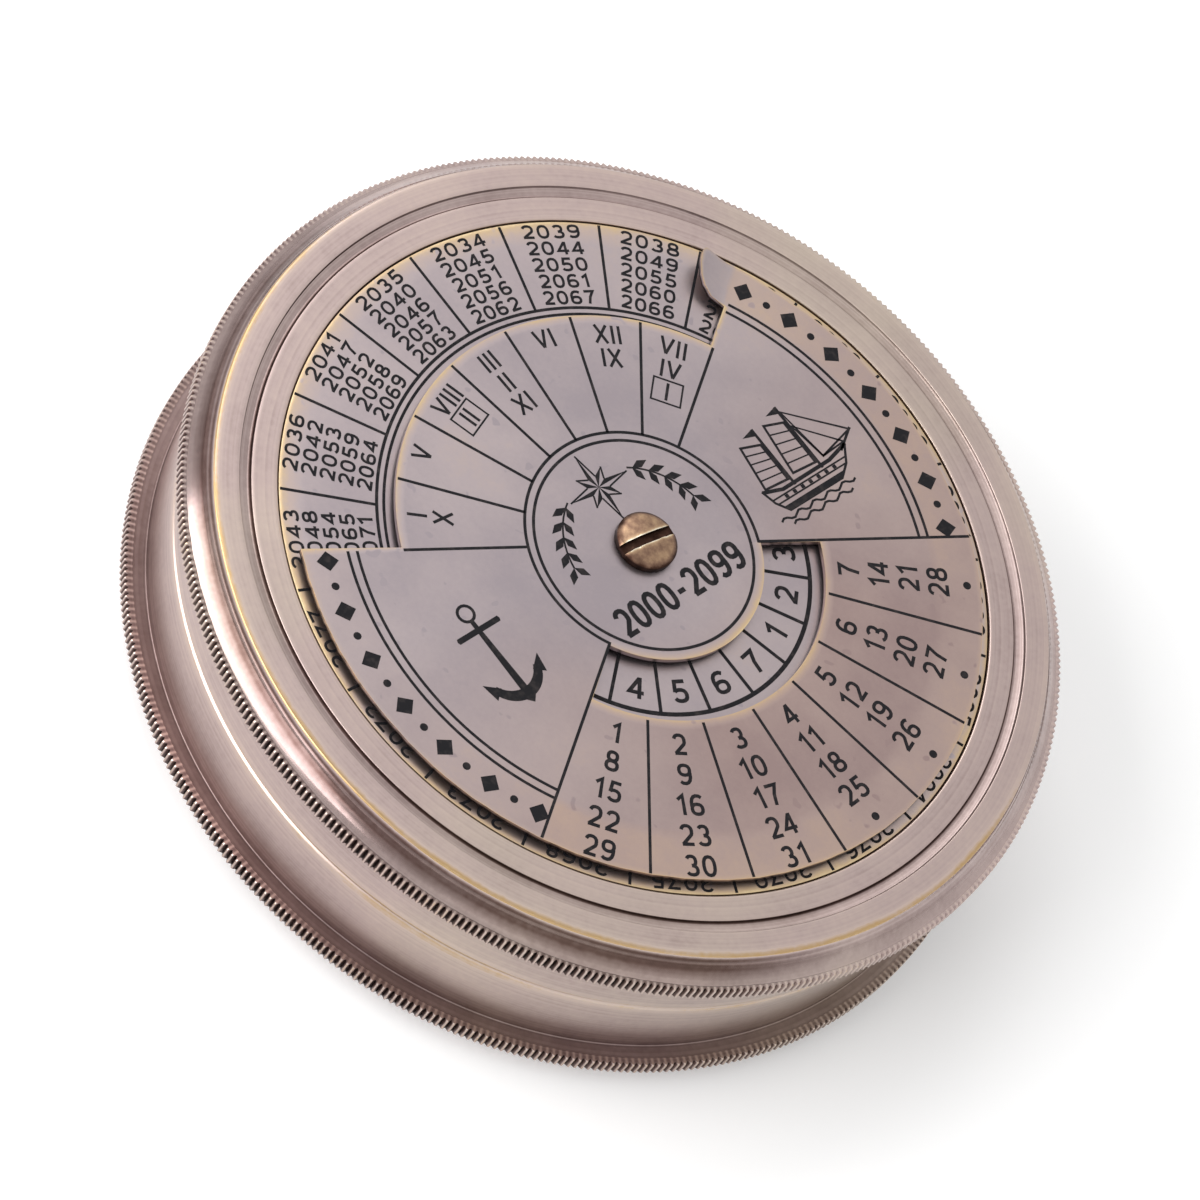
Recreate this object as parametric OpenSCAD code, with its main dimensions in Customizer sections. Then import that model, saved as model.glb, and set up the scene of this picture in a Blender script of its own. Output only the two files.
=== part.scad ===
// Calendar compass: a round turned case in two halves that screw together.
// The lid carries a perpetual calendar, the base a glazed compass.
// Shown closed, lying on its plain back, with +Z up through the calendar's screw.

/* [Case] */
// Diameter over the knurled bands
case_d = 76; // [72:0.5:90]
// Radius of the hollow cove between the sharp edge and the knurl
cove_r = 2.05; // [1.5:0.05:2.6]
// Height of each knurled band
knurl_h = 1.4; // [1:0.1:2.4]
// Number of teeth round each knurled band
knurl_teeth = 420; // [200:10:480]
// Depth of the knurl's teeth
knurl_depth = 0.3; // [0.15:0.05:0.45]
// Plain land between the cove and the roots of the teeth
knurl_land = 0.15; // [0.1:0.05:0.3]
// Step from the knurl in to the smooth wall
knurl_step = 1.8; // [1.4:0.1:2.4]
// Bevel on both halves where their smooth walls meet
seam_bevel = 0.2; // [0.1:0.05:0.4]

/* [Base] */
// Height from the back to the shoulder that the lid closes on
base_h = 10.1; // [8.5:0.1:11]
// Thickness of the bowl's floor
floor_t = 2.2; // [1.8:0.1:3]
// Wall of the neck that the lid screws over
neck_t = 1.6; // [1.3:0.1:2]
// Rim of the neck above the glass retaining ring
neck_lip = 0.57; // [0.3:0.05:1]
// Depth of the shallow dish in the back
dish_depth = 0.25; // [0.1:0.05:0.5]
// Width of the flat ring that the back stands on
dish_rim_w = 3.4; // [2:0.1:5]
// Width of the soft slope into the dish
dish_slope_w = 2; // [1:0.1:4]
// Diameter of the centre mark in the back
punch_d = 1.3; // [0.8:0.1:2]
// Depth of the centre mark
punch_depth = 0.35; // [0.2:0.05:0.6]

/* [Lid] */
// Wall of the skirt round the neck
skirt_t = 1.1; // [0.9:0.1:1.4]
// Room for the thread between neck and skirt
thread_gap = 0.3; // [0.25:0.05:0.5]
// Gap between the closed lid and the shoulder
close_gap = 0.1; // [0.05:0.05:0.3]
// Free height from the neck's rim to the lid's ceiling
lid_room = 3.2; // [2.8:0.1:5]
// Thickness of the lid's web under the year plate
web_t = 1.3; // [1:0.1:2]
// Width of the flat rim round the calendar well
rim_w = 5.1; // [4:0.1:7]
// How far the inner part of the rim lies below the sharp edge
rim_step = 0.12; // [0.05:0.01:0.2]
// Width of the inner part of the rim
rim_inner_w = 2.3; // [1.5:0.1:3]
// Width of the fine groove round the rim
groove_w = 0.35; // [0.2:0.05:0.6]
// Depth of the fine groove below the inner part of the rim
groove_depth = 0.3; // [0.15:0.05:0.5]
// Width of the bevel from the groove up to the outer rim
bevel_w = 0.8; // [0.4:0.1:1.2]

/* [Calendar] */
// Thickness of the year plate
plate_t = 0.6; // [0.4:0.05:1]
// How far the year plate lies below the sharp edge
plate_drop = 0.25; // [0.15:0.05:0.5]
// Gap between the year plate and the wall of its well
plate_gap = 0.3; // [0.1:0.05:0.5]
// Thickness of the turning month disc
disc_t = 0.45; // [0.3:0.05:0.8]
// Edge of the year plate that the month disc leaves bare
disc_margin = 0.8; // [0.5:0.1:2]
// Width of the band of years that shows over the months
year_band_w = 9.4; // [7:0.1:12]
// Diameter of the month disc's hub inside the day window
hub_d = 20.8; // [16:0.1:22]
// Width of the day window
window_w = 5.4; // [4:0.1:6]
// Angle of the sector with the months, and of the sector with the dates
column_sector = 120; // [100:1:130]
// Turn of the month disc at rest, to the start of its dates
disc_turn = 286; // [0:1:359]
// Length of the finger tab past the edge of its sector
tab_len = 3.4; // [2:0.1:5]
// Width of the finger tab
tab_w = 4.3; // [4:0.1:7]
// Radius of the finger tab's upward curl
tab_curl = 6; // [5.5:0.1:9]
// Clearance above and below the month disc
disc_play = 0.05; // [0.02:0.01:0.1]

/* [Centre screw] */
// Diameter of the screw's round head
head_d = 5.2; // [4.4:0.1:7]
// Height of the screw's head
head_h = 1.15; // [0.9:0.05:1.6]
// Height of the head's straight edge below its dome
head_edge_h = 0.4; // [0.2:0.05:0.6]
// Width of the screwdriver slot
slot_w = 0.7; // [0.5:0.05:1]
// Depth of the screwdriver slot
slot_depth = 0.6; // [0.4:0.05:0.8]
// Turn of the slot
slot_turn = 66; // [0:1:179]
// Diameter of the screw's shank
shank_d = 3; // [2.5:0.1:4]
// Running clearance of the month disc on the shank, on the radius
shank_play = 0.05; // [0.02:0.01:0.1]
// Outside diameter of the spacing washer under the month disc
spacer_d = 9; // [7:0.5:14]
// Thickness of the spacing washer
spacer_t = 0.4; // [0.2:0.05:0.8]
// Width of the nut across its flats
nut_af = 5.5; // [5:0.1:7]
// Thickness of the nut
nut_h = 1.6; // [1.2:0.1:2]
// Outside diameter of the washer under the nut
nut_washer_d = 7; // [6.5:0.1:9]
// Thickness of the washer under the nut
nut_washer_t = 0.5; // [0.3:0.05:0.8]
// Length of shank that stands out of the nut
shank_tail = 0.6; // [0.3:0.1:0.9]

/* [Compass] */
// Thickness of the compass card
card_t = 0.5; // [0.3:0.05:0.8]
// Height of the room between the card and the glass
capsule_h = 8.05; // [7.5:0.05:9]
// Width of the spacer ring's foot on the card
ring_foot_w = 2; // [1.4:0.1:3]
// Width of the spacer ring's top under the glass
ring_top_w = 1.2; // [0.8:0.1:1.3]
// Thickness of the glass
glass_t = 1.5; // [1.2:0.1:2]
// Bevel round the glass
glass_bevel = 0.2; // [0.1:0.05:0.4]
// Gap between the bowl and the pieces that drop into it
drop_in_gap = 0.15; // [0.1:0.05:0.3]
// Diameter of the spring wire ring that holds the glass
wire_d = 0.9; // [0.7:0.05:1.1]
// Share of the wire that lies in its groove, as a depth
wire_seat = 0.3; // [0.2:0.05:0.4]
// Clearance round the wire in its groove
wire_gap = 0.04; // [0.02:0.01:0.08]
// Angle of the split in the wire ring
wire_split = 14; // [6:1:30]

/* [Needle] */
// Diameter of the pivot post's flange
post_flange_d = 5; // [4:0.1:7]
// Thickness of the pivot post's flange
post_flange_t = 0.7; // [0.5:0.05:1]
// Diameter of the pivot post
post_d = 2.4; // [2:0.1:3]
// Height of the pivot post above the card
post_h = 1.9; // [1.5:0.1:2.2]
// Diameter of the post's tail in the floor
post_tail_d = 2; // [1.6:0.1:2.2]
// Depth of the post's tail in the floor
post_tail_h = 1.2; // [0.8:0.1:1.4]
// Diameter of the steel pivot pin
pin_d = 0.8; // [0.6:0.05:0.9]
// Length of the pivot pin's tapered point
pin_taper = 1.1; // [0.8:0.1:1.4]
// Diameter of the pivot pin's point
pin_tip_d = 0.06; // [0.04:0.01:0.1]
// Height of the needle's blade above the card
needle_lift = 3.5; // [3.2:0.1:4]
// Thickness of the needle's blade
blade_t = 0.3; // [0.2:0.05:0.5]
// Greatest width of the needle's blade
blade_w = 5.6; // [5.2:0.1:8]
// Gap between the needle's tips and the spacer ring
needle_gap = 3; // [1.5:0.1:8]
// Diameter of the needle's brass cap
cap_d = 3.2; // [3:0.1:3.6]
// Height of the cap above the blade
cap_h = 2.1; // [1.9:0.1:2.6]
// Diameter of the cap's flange under the blade
cap_flange_d = 4.4; // [4:0.1:5]
// Thickness of the cap's flange
cap_flange_t = 0.4; // [0.3:0.05:0.6]
// Thickness of the cap's crown over the jewel
cap_crown_t = 0.5; // [0.4:0.05:0.7]
// Diameter of the jewel in the cap
jewel_d = 2.2; // [2:0.1:2.4]
// Height of the jewel
jewel_h = 1.2; // [1:0.1:1.4]
// Depth of the jewel's hollow
jewel_hollow = 0.9; // [0.7:0.05:1]
// Clearance between the pivot's point and the jewel
pivot_gap = 0.05; // [0.02:0.01:0.1]
// Fit clearance of pieces that are pressed or riveted together, on the radius
fit_gap = 0.02; // [0.01:0.01:0.05]

/* [Hidden] */
$fn = 96;

// Small overshoot of cuts past a face
cut = 1;

// Radii, from the knurl inwards
case_r = case_d / 2;
edge_r = case_r - cove_r;
wall_r = case_r - knurl_step;
knurl_root_r = case_r - knurl_depth;
cove_end_r = knurl_root_r - knurl_land;
skirt_bore_r = wall_r - skirt_t;
neck_r = skirt_bore_r - thread_gap;
bowl_r = neck_r - neck_t;
drop_in_r = bowl_r - drop_in_gap;
well_r = edge_r - rim_w;
plate_r = well_r - plate_gap;
disc_r = plate_r - disc_margin;
months_r = plate_r - year_band_w;
hub_r = hub_d / 2;
shank_r = shank_d / 2;
shank_hole_r = shank_r + shank_play;
ring_bore_r = drop_in_r - ring_foot_w;
wire_r = wire_d / 2;
wire_ring_r = bowl_r + wire_seat - wire_r;

// Heights, from the back upwards
knurl_z = sqrt(pow(cove_r, 2) - pow(knurl_depth + knurl_land, 2));
knurl_end = cove_r + knurl_h;
floor_z = dish_depth + floor_t;
card_top = floor_z + card_t;
glass_z = card_top + capsule_h;
glass_top = glass_z + glass_t;
wire_z = glass_top + wire_gap + wire_r;
neck_top = wire_z + wire_r + neck_lip;
ceiling_z = neck_top + lid_room;
well_z = ceiling_z + web_t;
plate_top = well_z + plate_t;
lid_top = plate_top + plate_drop;
lid_h = lid_top - base_h - close_gap;
disc_z = plate_top + spacer_t + disc_play;
disc_top = disc_z + disc_t;
head_z = disc_top + disc_play;
nut_top = ceiling_z - nut_washer_t;
blade_z = card_top + needle_lift;
cap_top = blade_z + blade_t + cap_h;
jewel_top = cap_top - cap_crown_t;
jewel_z = jewel_top - jewel_h;
pin_tip_z = jewel_z + jewel_hollow - pivot_gap;

// A flat ring or, with no bore, a disc
module washer(r, bore_r, h) {
    difference() {
        cylinder(r = r, h = h);
        translate([0, 0, -cut]) cylinder(r = bore_r, h = h + 2 * cut);
    }
}

// Half profile that both halves of the case share, from the sharp edge at y = 0 to height h
module rim_profile(h) {
    difference() {
        polygon([[0, 0], [cove_end_r, 0], [cove_end_r, knurl_z], [wall_r, knurl_z], [wall_r, h - seam_bevel],
                 [wall_r - seam_bevel, h], [0, h]]);
        translate([case_r, 0]) circle(r = cove_r);
    }
}

// Straight knurl round the rim, with sharp teeth along the axis
module knurl() {
    step = 180 / knurl_teeth;
    translate([0, 0, knurl_z]) linear_extrude(knurl_end - knurl_z) difference() {
        polygon([for (i = [0 : 2 * knurl_teeth - 1])
                 (i % 2 == 0 ? case_r : knurl_root_r) * [cos(i * step), sin(i * step)]]);
        circle(r = wall_r - skirt_t / 2);
    }
}

// Slice of a flat ring between two radii, from angle start over a sweep
module ring_sector(r_in, r_out, start, sweep, h) {
    rotate([0, 0, start]) rotate_extrude(angle = sweep) translate([r_in, 0]) square([r_out - r_in, h]);
}

// Turned bowl with a plain dished back and a neck for the lid's thread
module base_bowl() {
    stand_r = edge_r - dish_rim_w;
    color("rosybrown") difference() {
        union() {
            rotate_extrude() difference() {
                union() {
                    rim_profile(base_h);
                    square([neck_r, neck_top]);
                }
                polygon([[0, -cut], [stand_r, -cut], [stand_r, 0], [stand_r - dish_slope_w, dish_depth],
                         [punch_d / 2, dish_depth], [0, dish_depth + punch_depth]]);
                translate([0, floor_z]) square([bowl_r, neck_top]);
                translate([wire_ring_r, wire_z]) circle(r = wire_r + wire_gap);
            }
            knurl();
        }
        translate([0, 0, floor_z - post_tail_h]) cylinder(r = post_tail_d / 2 + fit_gap, h = post_tail_h + cut);
    }
}

// Printed card on the floor of the bowl
module compass_card() {
    color("ivory") translate([0, 0, floor_z]) washer(drop_in_r, post_tail_d / 2 + fit_gap, card_t);
}

// Post that is riveted through the card into the floor and holds the pin
module pivot_post() {
    color("goldenrod") difference() {
        union() {
            translate([0, 0, floor_z - post_tail_h]) cylinder(r = post_tail_d / 2, h = post_tail_h + card_t);
            translate([0, 0, card_top]) cylinder(r = post_flange_d / 2, h = post_flange_t);
            translate([0, 0, card_top]) cylinder(r = post_d / 2, h = post_h);
        }
        translate([0, 0, floor_z]) cylinder(r = pin_d / 2 + fit_gap, h = post_h + card_t + cut);
    }
}

// Steel pin with a fine point that the needle turns on
module pivot_pin() {
    color("silver") translate([0, 0, floor_z]) union() {
        cylinder(r = pin_d / 2, h = pin_tip_z - pin_taper - floor_z);
        translate([0, 0, pin_tip_z - pin_taper - floor_z])
            cylinder(r1 = pin_d / 2, r2 = pin_tip_d / 2, h = pin_taper);
    }
}

// Brass cap riveted in the needle, hollow underneath for the jewel and the pin
module needle_cap() {
    flange_z = blade_z - cap_flange_t;
    dome_r = cap_d / 2 + cap_crown_t;
    color("gold") translate([0, 0, flange_z]) difference() {
        union() {
            cylinder(r = cap_flange_d / 2, h = cap_flange_t);
            intersection() {
                cylinder(r = cap_d / 2, h = cap_top - flange_z);
                translate([0, 0, cap_top - flange_z - dome_r]) union() {
                    sphere(r = dome_r);
                    translate([0, 0, -cap_top]) cylinder(r = dome_r, h = cap_top);
                }
            }
        }
        translate([0, 0, -cut]) cylinder(r = jewel_d / 2 + fit_gap, h = jewel_top - flange_z + cut);
    }
}

// Glass cup bearing in the cap
module needle_jewel() {
    color("crimson") translate([0, 0, jewel_z]) difference() {
        cylinder(r = jewel_d / 2, h = jewel_h);
        translate([0, 0, -pin_tip_d])
            cylinder(r1 = jewel_d / 2 - jewel_h / 4, r2 = pin_tip_d / 2, h = jewel_hollow + pin_tip_d);
    }
}

// Magnetised steel needle, north along +Y
module needle_blade() {
    reach = ring_bore_r - needle_gap;
    color("steelblue") translate([0, 0, blade_z]) difference() {
        union() {
            linear_extrude(blade_t) polygon([[0, reach], [-blade_w / 2, 0], [0, -reach], [blade_w / 2, 0]]);
            cylinder(r = cap_flange_d / 2, h = blade_t);
        }
        translate([0, 0, -cut]) cylinder(r = cap_d / 2 + fit_gap, h = blade_t + 2 * cut);
    }
}

// Bevelled ring that holds the card down and carries the glass
module card_ring() {
    color("goldenrod") translate([0, 0, card_top]) rotate_extrude()
        polygon([[ring_bore_r, 0], [drop_in_r, 0], [drop_in_r, capsule_h], [drop_in_r - ring_top_w, capsule_h]]);
}

// Flat glass with a ground bevel
module glass_crystal() {
    color("lightcyan", 0.4) translate([0, 0, glass_z]) rotate_extrude()
        polygon([[0, 0], [drop_in_r - glass_bevel, 0], [drop_in_r, glass_bevel],
                 [drop_in_r, glass_t - glass_bevel], [drop_in_r - glass_bevel, glass_t], [0, glass_t]]);
}

// Split ring of spring wire, sprung into its groove over the glass
module glass_ring() {
    color("silver") translate([0, 0, wire_z]) rotate([0, 0, wire_split / 2 - 90])
        rotate_extrude(angle = 360 - wire_split) translate([wire_ring_r, 0]) circle(r = wire_r);
}

// Turned lid with a stepped rim, a well for the calendar and a skirt over the neck
module lid_shell() {
    groove_r = well_r + rim_inner_w;
    groove_end = groove_r + groove_w;
    color("rosybrown") translate([0, 0, lid_top]) mirror([0, 0, 1]) union() {
        rotate_extrude() difference() {
            rim_profile(lid_h);
            polygon([[0, -cut], [groove_end + bevel_w, -cut], [groove_end + bevel_w, 0], [groove_end, rim_step],
                     [groove_end, rim_step + groove_depth], [groove_r, rim_step + groove_depth],
                     [groove_r, rim_step], [0, rim_step]]);
            square([well_r, lid_top - well_z]);
            square([shank_r + fit_gap, lid_h]);
            translate([0, lid_top - ceiling_z]) square([skirt_bore_r, lid_h]);
        }
        knurl();
    }
}

// Fixed plate with the years and the days
module year_plate() {
    color("thistle") translate([0, 0, well_z]) washer(plate_r, shank_r + fit_gap, plate_t);
}

// Thin washer that lifts the month disc off the year plate
module disc_spacer() {
    color("goldenrod") translate([0, 0, plate_top]) washer(spacer_d / 2, shank_r + fit_gap, spacer_t);
}

// Curled corner of the month disc, for a fingertip, on the edge that lies along +X
module finger_tab() {
    corner_r = disc_r - tab_w + tab_len;
    sweep = asin(tab_len / tab_curl);
    intersection() {
        union() {
            translate([0, 0, disc_t + tab_curl]) rotate([0, 90, 0])
                rotate_extrude(angle = sweep) translate([tab_curl, disc_r - tab_w]) square([disc_t, tab_w]);
            translate([disc_r - tab_w, -tab_len, 0]) cube([tab_w, tab_len, disc_t]);
        }
        union() {
            translate([corner_r, 0, -cut]) cylinder(r = tab_len, h = tab_curl);
            translate([corner_r, -tab_len, -cut]) cube([tab_w, 2 * tab_len, tab_curl]);
        }
        translate([0, 0, -cut]) cylinder(r = disc_r, h = tab_curl);
    }
}

// Turning disc with the months and dates, cut away over the years and the days
module month_disc() {
    plain_sector = 180 - column_sector;
    tab_edge = column_sector + plain_sector;
    color("plum") translate([0, 0, disc_z]) rotate([0, 0, disc_turn]) union() {
        difference() {
            washer(disc_r, shank_hole_r, disc_t);
            translate([0, 0, -cut]) ring_sector(hub_r, hub_r + window_w, 0, column_sector, disc_t + 2 * cut);
            translate([0, 0, -cut])
                ring_sector(months_r, disc_r + cut, tab_edge, column_sector, disc_t + 2 * cut);
        }
        rotate([0, 0, tab_edge]) finger_tab();
    }
}

// Slotted round-head screw that clamps the calendar to the lid
module centre_screw() {
    dome_h = head_h - head_edge_h;
    dome_r = (dome_h * dome_h + head_d * head_d / 4) / (2 * dome_h);
    tail_z = nut_top - nut_h - shank_tail;
    color("peru") union() {
        translate([0, 0, tail_z]) cylinder(r = shank_r, h = head_z - tail_z);
        translate([0, 0, head_z]) difference() {
            intersection() {
                cylinder(r = head_d / 2, h = head_h);
                translate([0, 0, head_h - dome_r]) sphere(r = dome_r);
            }
            rotate([0, 0, slot_turn]) translate([-head_d, -slot_w / 2, head_h - slot_depth])
                cube([2 * head_d, slot_w, head_h]);
        }
    }
}

// Washer under the lid's web
module nut_washer() {
    color("silver") translate([0, 0, nut_top]) washer(nut_washer_d / 2, shank_r + fit_gap, nut_washer_t);
}

// Hexagon nut on the screw, inside the lid
module screw_nut() {
    color("goldenrod") translate([0, 0, nut_top - nut_h]) difference() {
        cylinder(r = nut_af / sqrt(3), h = nut_h, $fn = 6);
        translate([0, 0, -cut]) cylinder(r = shank_r + fit_gap, h = nut_h + 2 * cut);
    }
}

base_bowl();
compass_card();
pivot_post();
pivot_pin();
needle_cap();
needle_jewel();
needle_blade();
card_ring();
glass_crystal();
glass_ring();
lid_shell();
year_plate();
disc_spacer();
month_disc();
centre_screw();
nut_washer();
screw_nut();
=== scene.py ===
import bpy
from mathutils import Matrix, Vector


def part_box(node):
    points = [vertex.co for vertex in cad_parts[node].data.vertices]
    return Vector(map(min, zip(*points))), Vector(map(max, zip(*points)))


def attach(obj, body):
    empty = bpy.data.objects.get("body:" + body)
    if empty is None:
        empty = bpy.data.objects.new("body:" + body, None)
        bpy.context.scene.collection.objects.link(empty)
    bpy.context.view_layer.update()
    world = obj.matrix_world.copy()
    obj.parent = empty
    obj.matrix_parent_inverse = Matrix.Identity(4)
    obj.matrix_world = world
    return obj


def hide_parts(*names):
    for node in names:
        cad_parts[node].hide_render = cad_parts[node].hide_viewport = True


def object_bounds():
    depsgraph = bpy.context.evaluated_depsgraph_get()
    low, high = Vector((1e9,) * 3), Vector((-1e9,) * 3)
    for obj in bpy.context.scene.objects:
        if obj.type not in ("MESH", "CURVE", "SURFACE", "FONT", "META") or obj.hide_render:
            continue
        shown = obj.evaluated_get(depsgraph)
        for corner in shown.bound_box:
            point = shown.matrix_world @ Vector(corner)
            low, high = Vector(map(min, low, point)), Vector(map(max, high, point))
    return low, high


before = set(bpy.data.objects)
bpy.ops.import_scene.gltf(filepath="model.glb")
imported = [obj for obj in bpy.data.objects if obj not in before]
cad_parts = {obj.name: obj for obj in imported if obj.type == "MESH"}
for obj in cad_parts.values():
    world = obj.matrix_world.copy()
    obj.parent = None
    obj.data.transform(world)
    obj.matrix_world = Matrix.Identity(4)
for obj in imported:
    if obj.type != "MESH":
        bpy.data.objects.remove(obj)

import datetime
from math import asin, atan2, copysign, cos, degrees, hypot, pi, radians, sin, sqrt

import bmesh
import bpy
from mathutils import Matrix, Vector

cad_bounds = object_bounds()


# Base bowl: the lower half of the case, turned from brass bar and toned to an antique grey.
# Its back is slightly dished and keeps the mark of the lathe centre, and a straight knurl runs
# round its foot. The neck above the shoulder carries the thread for the lid.
mm = 0.001


def linear(colour):
    """The linear colour of an sRGB hex value."""
    channels = [int(colour[i:i + 2], 16) / 255 for i in (1, 3, 5)]
    return [c / 12.92 if c <= 0.04045 else ((c + 0.055) / 1.055) ** 2.4 for c in channels] + [1.0]


def feed(tree, target, inputs):
    """Sets a shader node's inputs to plain values, or links them to sockets or to nodes' first outputs."""
    for name, value in inputs.items():
        if isinstance(value, bpy.types.Node):
            value = value.outputs[0]
        if isinstance(value, bpy.types.NodeSocket):
            tree.links.new(value, target.inputs[name])
        else:
            target.inputs[name].default_value = value


def node(tree, kind, inputs=None, ramp=None, **settings):
    """Adds a shader node with its settings, its ramp of places and colours, and what feeds its inputs."""
    added = tree.nodes.new("ShaderNode" + kind)
    for name, value in settings.items():
        setattr(added, name, value)
    for i, (place, colour) in enumerate(ramp or ()):
        stops = added.color_ramp.elements
        stop = stops[i] if i < 2 else stops.new(place)
        stop.position = place
        stop.color = linear(colour)
    feed(tree, added, inputs or {})
    return added


def blank_material(name):
    """A new node material, with its tree, its surface shader and the places on the piece it covers."""
    made = bpy.data.materials.new(name)
    made.use_nodes = True
    tree = made.node_tree
    return made, tree, tree.nodes["Principled BSDF"], node(tree, "TexCoord").outputs["Object"]


def off_axis(tree, place):
    """How far a place lies from the axis that the case is turned about."""
    flat = node(tree, "VectorMath", {0: place, 1: (1, 1, 0)}, operation="MULTIPLY")
    return node(tree, "VectorMath", {0: flat}, operation="LENGTH").outputs["Value"]


def lathe_lines(tree, place):
    """Rings left by the lathe tool. Real ones are finer, and these are as coarse as it takes to show."""
    line_pitch = 0.28 * mm
    height = node(tree, "SeparateXYZ", {0: place}).outputs["Z"]
    along = node(tree, "Math", {0: off_axis(tree, place), 1: height}, operation="ADD")
    return node(tree, "TexNoise", {"W": along, "Scale": 1 / line_pitch, "Detail": 2.0}, noise_dimensions="1D")


# Antiqued brass: turned brass in a grey-pink bath tone. It shows dark brown where the cloth never
# reaches, warm grey on open faces with fine turning lines, and yellow brass where hands wear it.
# In the cove part of that dark is painted dark reflection.
antiqued_brass, tree, shader, place = blank_material("antiqued_brass")
patch_size = 12 * mm
bath_size = 26 * mm
# The polishing grain is really finer, and is drawn as coarse as it takes to show.
grain_size = 0.5 * mm
patches = node(tree, "TexNoise", {"Vector": place, "Scale": 1 / patch_size, "Detail": 5.0, "Roughness": 0.6})
bath = node(tree, "TexNoise", {"Vector": place, "Scale": 1 / bath_size, "Detail": 3.0})
grain = node(tree, "TexNoise", {"Vector": place, "Scale": 1 / grain_size, "Detail": 2.0})
turning = lathe_lines(tree, place)
tone = node(tree, "Attribute", attribute_name="finish").outputs["Fac"]
for pattern, change in ((patches, 0.3), (turning, 0.16), (grain, 0.1)):
    swing = node(tree, "Math", {0: pattern, 1: change, 2: -change / 2}, operation="MULTIPLY_ADD")
    tone = node(tree, "Math", {0: tone, 1: swing}, operation="ADD")
rosy = [(0.0, "#241B18"), (1.0, "#DECBA4"), (0.2, "#5B4743"), (0.4, "#8A7875"), (0.55, "#AC9A96"),
        (0.7, "#BDAAA1"), (0.82, "#B2946B")]
sandy = [(0.0, "#241C17"), (1.0, "#DECBA4"), (0.2, "#5B4B41"), (0.4, "#8C7D72"), (0.55, "#AD9F93"),
         (0.7, "#BEB0A2"), (0.82, "#B4976E")]
sand = node(tree, "MapRange", {"Value": bath, "From Min": 0.5, "From Max": 0.78})
tint = node(tree, "Mix", {0: sand, 6: node(tree, "ValToRGB", {0: tone}, ramp=rosy),
                          7: node(tree, "ValToRGB", {0: tone}, ramp=sandy)}, data_type="RGBA")
satin = node(tree, "MapRange", {"Value": tone, "To Min": 0.46, "To Max": 0.24})
polish = node(tree, "Attribute", attribute_name="polish").outputs["Fac"]
rough = node(tree, "Math", {0: polish, 1: -0.2, 2: satin}, operation="MULTIPLY_ADD")
relief = node(tree, "Bump", {"Height": turning, "Strength": 0.35, "Distance": 0.012 * mm})
feed(tree, shader, {"Base Color": tint.outputs[2], "Roughness": rough, "Normal": relief, "Metallic": 1.0})

base_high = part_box("base_bowl")[1] / mm
case_r = base_high.x
neck_top = base_high.z
cove_r = 2.05
edge_r = case_r - cove_r
knurl_h = 1.4
knurl_depth = 0.3
knurl_teeth = 420
knurl_core_r = case_r - knurl_depth - 0.4
cove_end_r = case_r - knurl_depth - 0.15
cove_h = sqrt(cove_r ** 2 - (case_r - cove_end_r) ** 2)
knurl_end = cove_r + knurl_h
wall_r = case_r - 1.8
shoulder = 10.1
neck_r = 34.8
bowl_r = 33.2
floor_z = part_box("compass_card")[0].z / mm
rivet_hole_r = 1.02
rivet_hole_z = floor_z - 1.2
dish = 0.25
wire_low, wire_high = (corner.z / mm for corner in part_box("glass_ring"))
wire_z = (wire_low + wire_high) / 2
groove_half = 0.466
groove_floor_half = 0.28
groove_r = bowl_r + 0.3
thread_pitch = 0.75
thread_h = 0.14


def softened(corners):
    """A profile of (radius, height, finish) from corners that also give how far each is rounded back."""
    steps = 3
    profile = []
    for i, (r, z, finish, fillet) in enumerate(corners):
        here = Vector((r, z))
        before = (Vector(corners[i - 1][:2]) - here).normalized()
        after = (Vector(corners[(i + 1) % len(corners)][:2]) - here).normalized()
        for k in range(steps + 1 if fillet else 1):
            t = k / steps
            bend = before * (1 - t) ** 2 + after * t ** 2
            profile.append((*(here + bend * fillet), finish))
    return profile


def skin(bm, rings, closed=True):
    """Joins loops of points with faces, round to the first loop again or capped at both ends."""
    for i in range(0 if closed else 1, len(rings)):
        here, beyond = rings[i - 1], rings[i]
        for k in range(len(here)):
            if here[k].co != beyond[k].co or here[k - 1].co != beyond[k - 1].co:
                bm.faces.new((here[k - 1], beyond[k - 1], beyond[k], here[k]))
    if not closed:
        bm.faces.new(rings[0])
        bm.faces.new(rings[-1])


def point(bm, place, finish, polish=0.0):
    """Adds a point with its finish, from tarnished at 0 to worn bright at 1, and its polish from the tool. In
    places the finish also carries painted shade and painted reflection.
    """
    vert = bm.verts.new(place)
    vert[bm.verts.layers.float["finish"]] = finish
    vert[bm.verts.layers.float["polish"]] = polish
    return vert


def turn(bm, profile, sides=288):
    """Adds a closed profile of radius, height, finish and perhaps polish, turned about the Z axis."""
    bm.verts.layers.float.new("finish")
    bm.verts.layers.float.new("polish")
    rings = []
    for side in range(sides):
        angle = 2 * pi * side / sides
        rings.append([point(bm, (r * cos(angle), r * sin(angle), z), *surface) for r, z, *surface in profile])
    skin(bm, rings)


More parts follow.
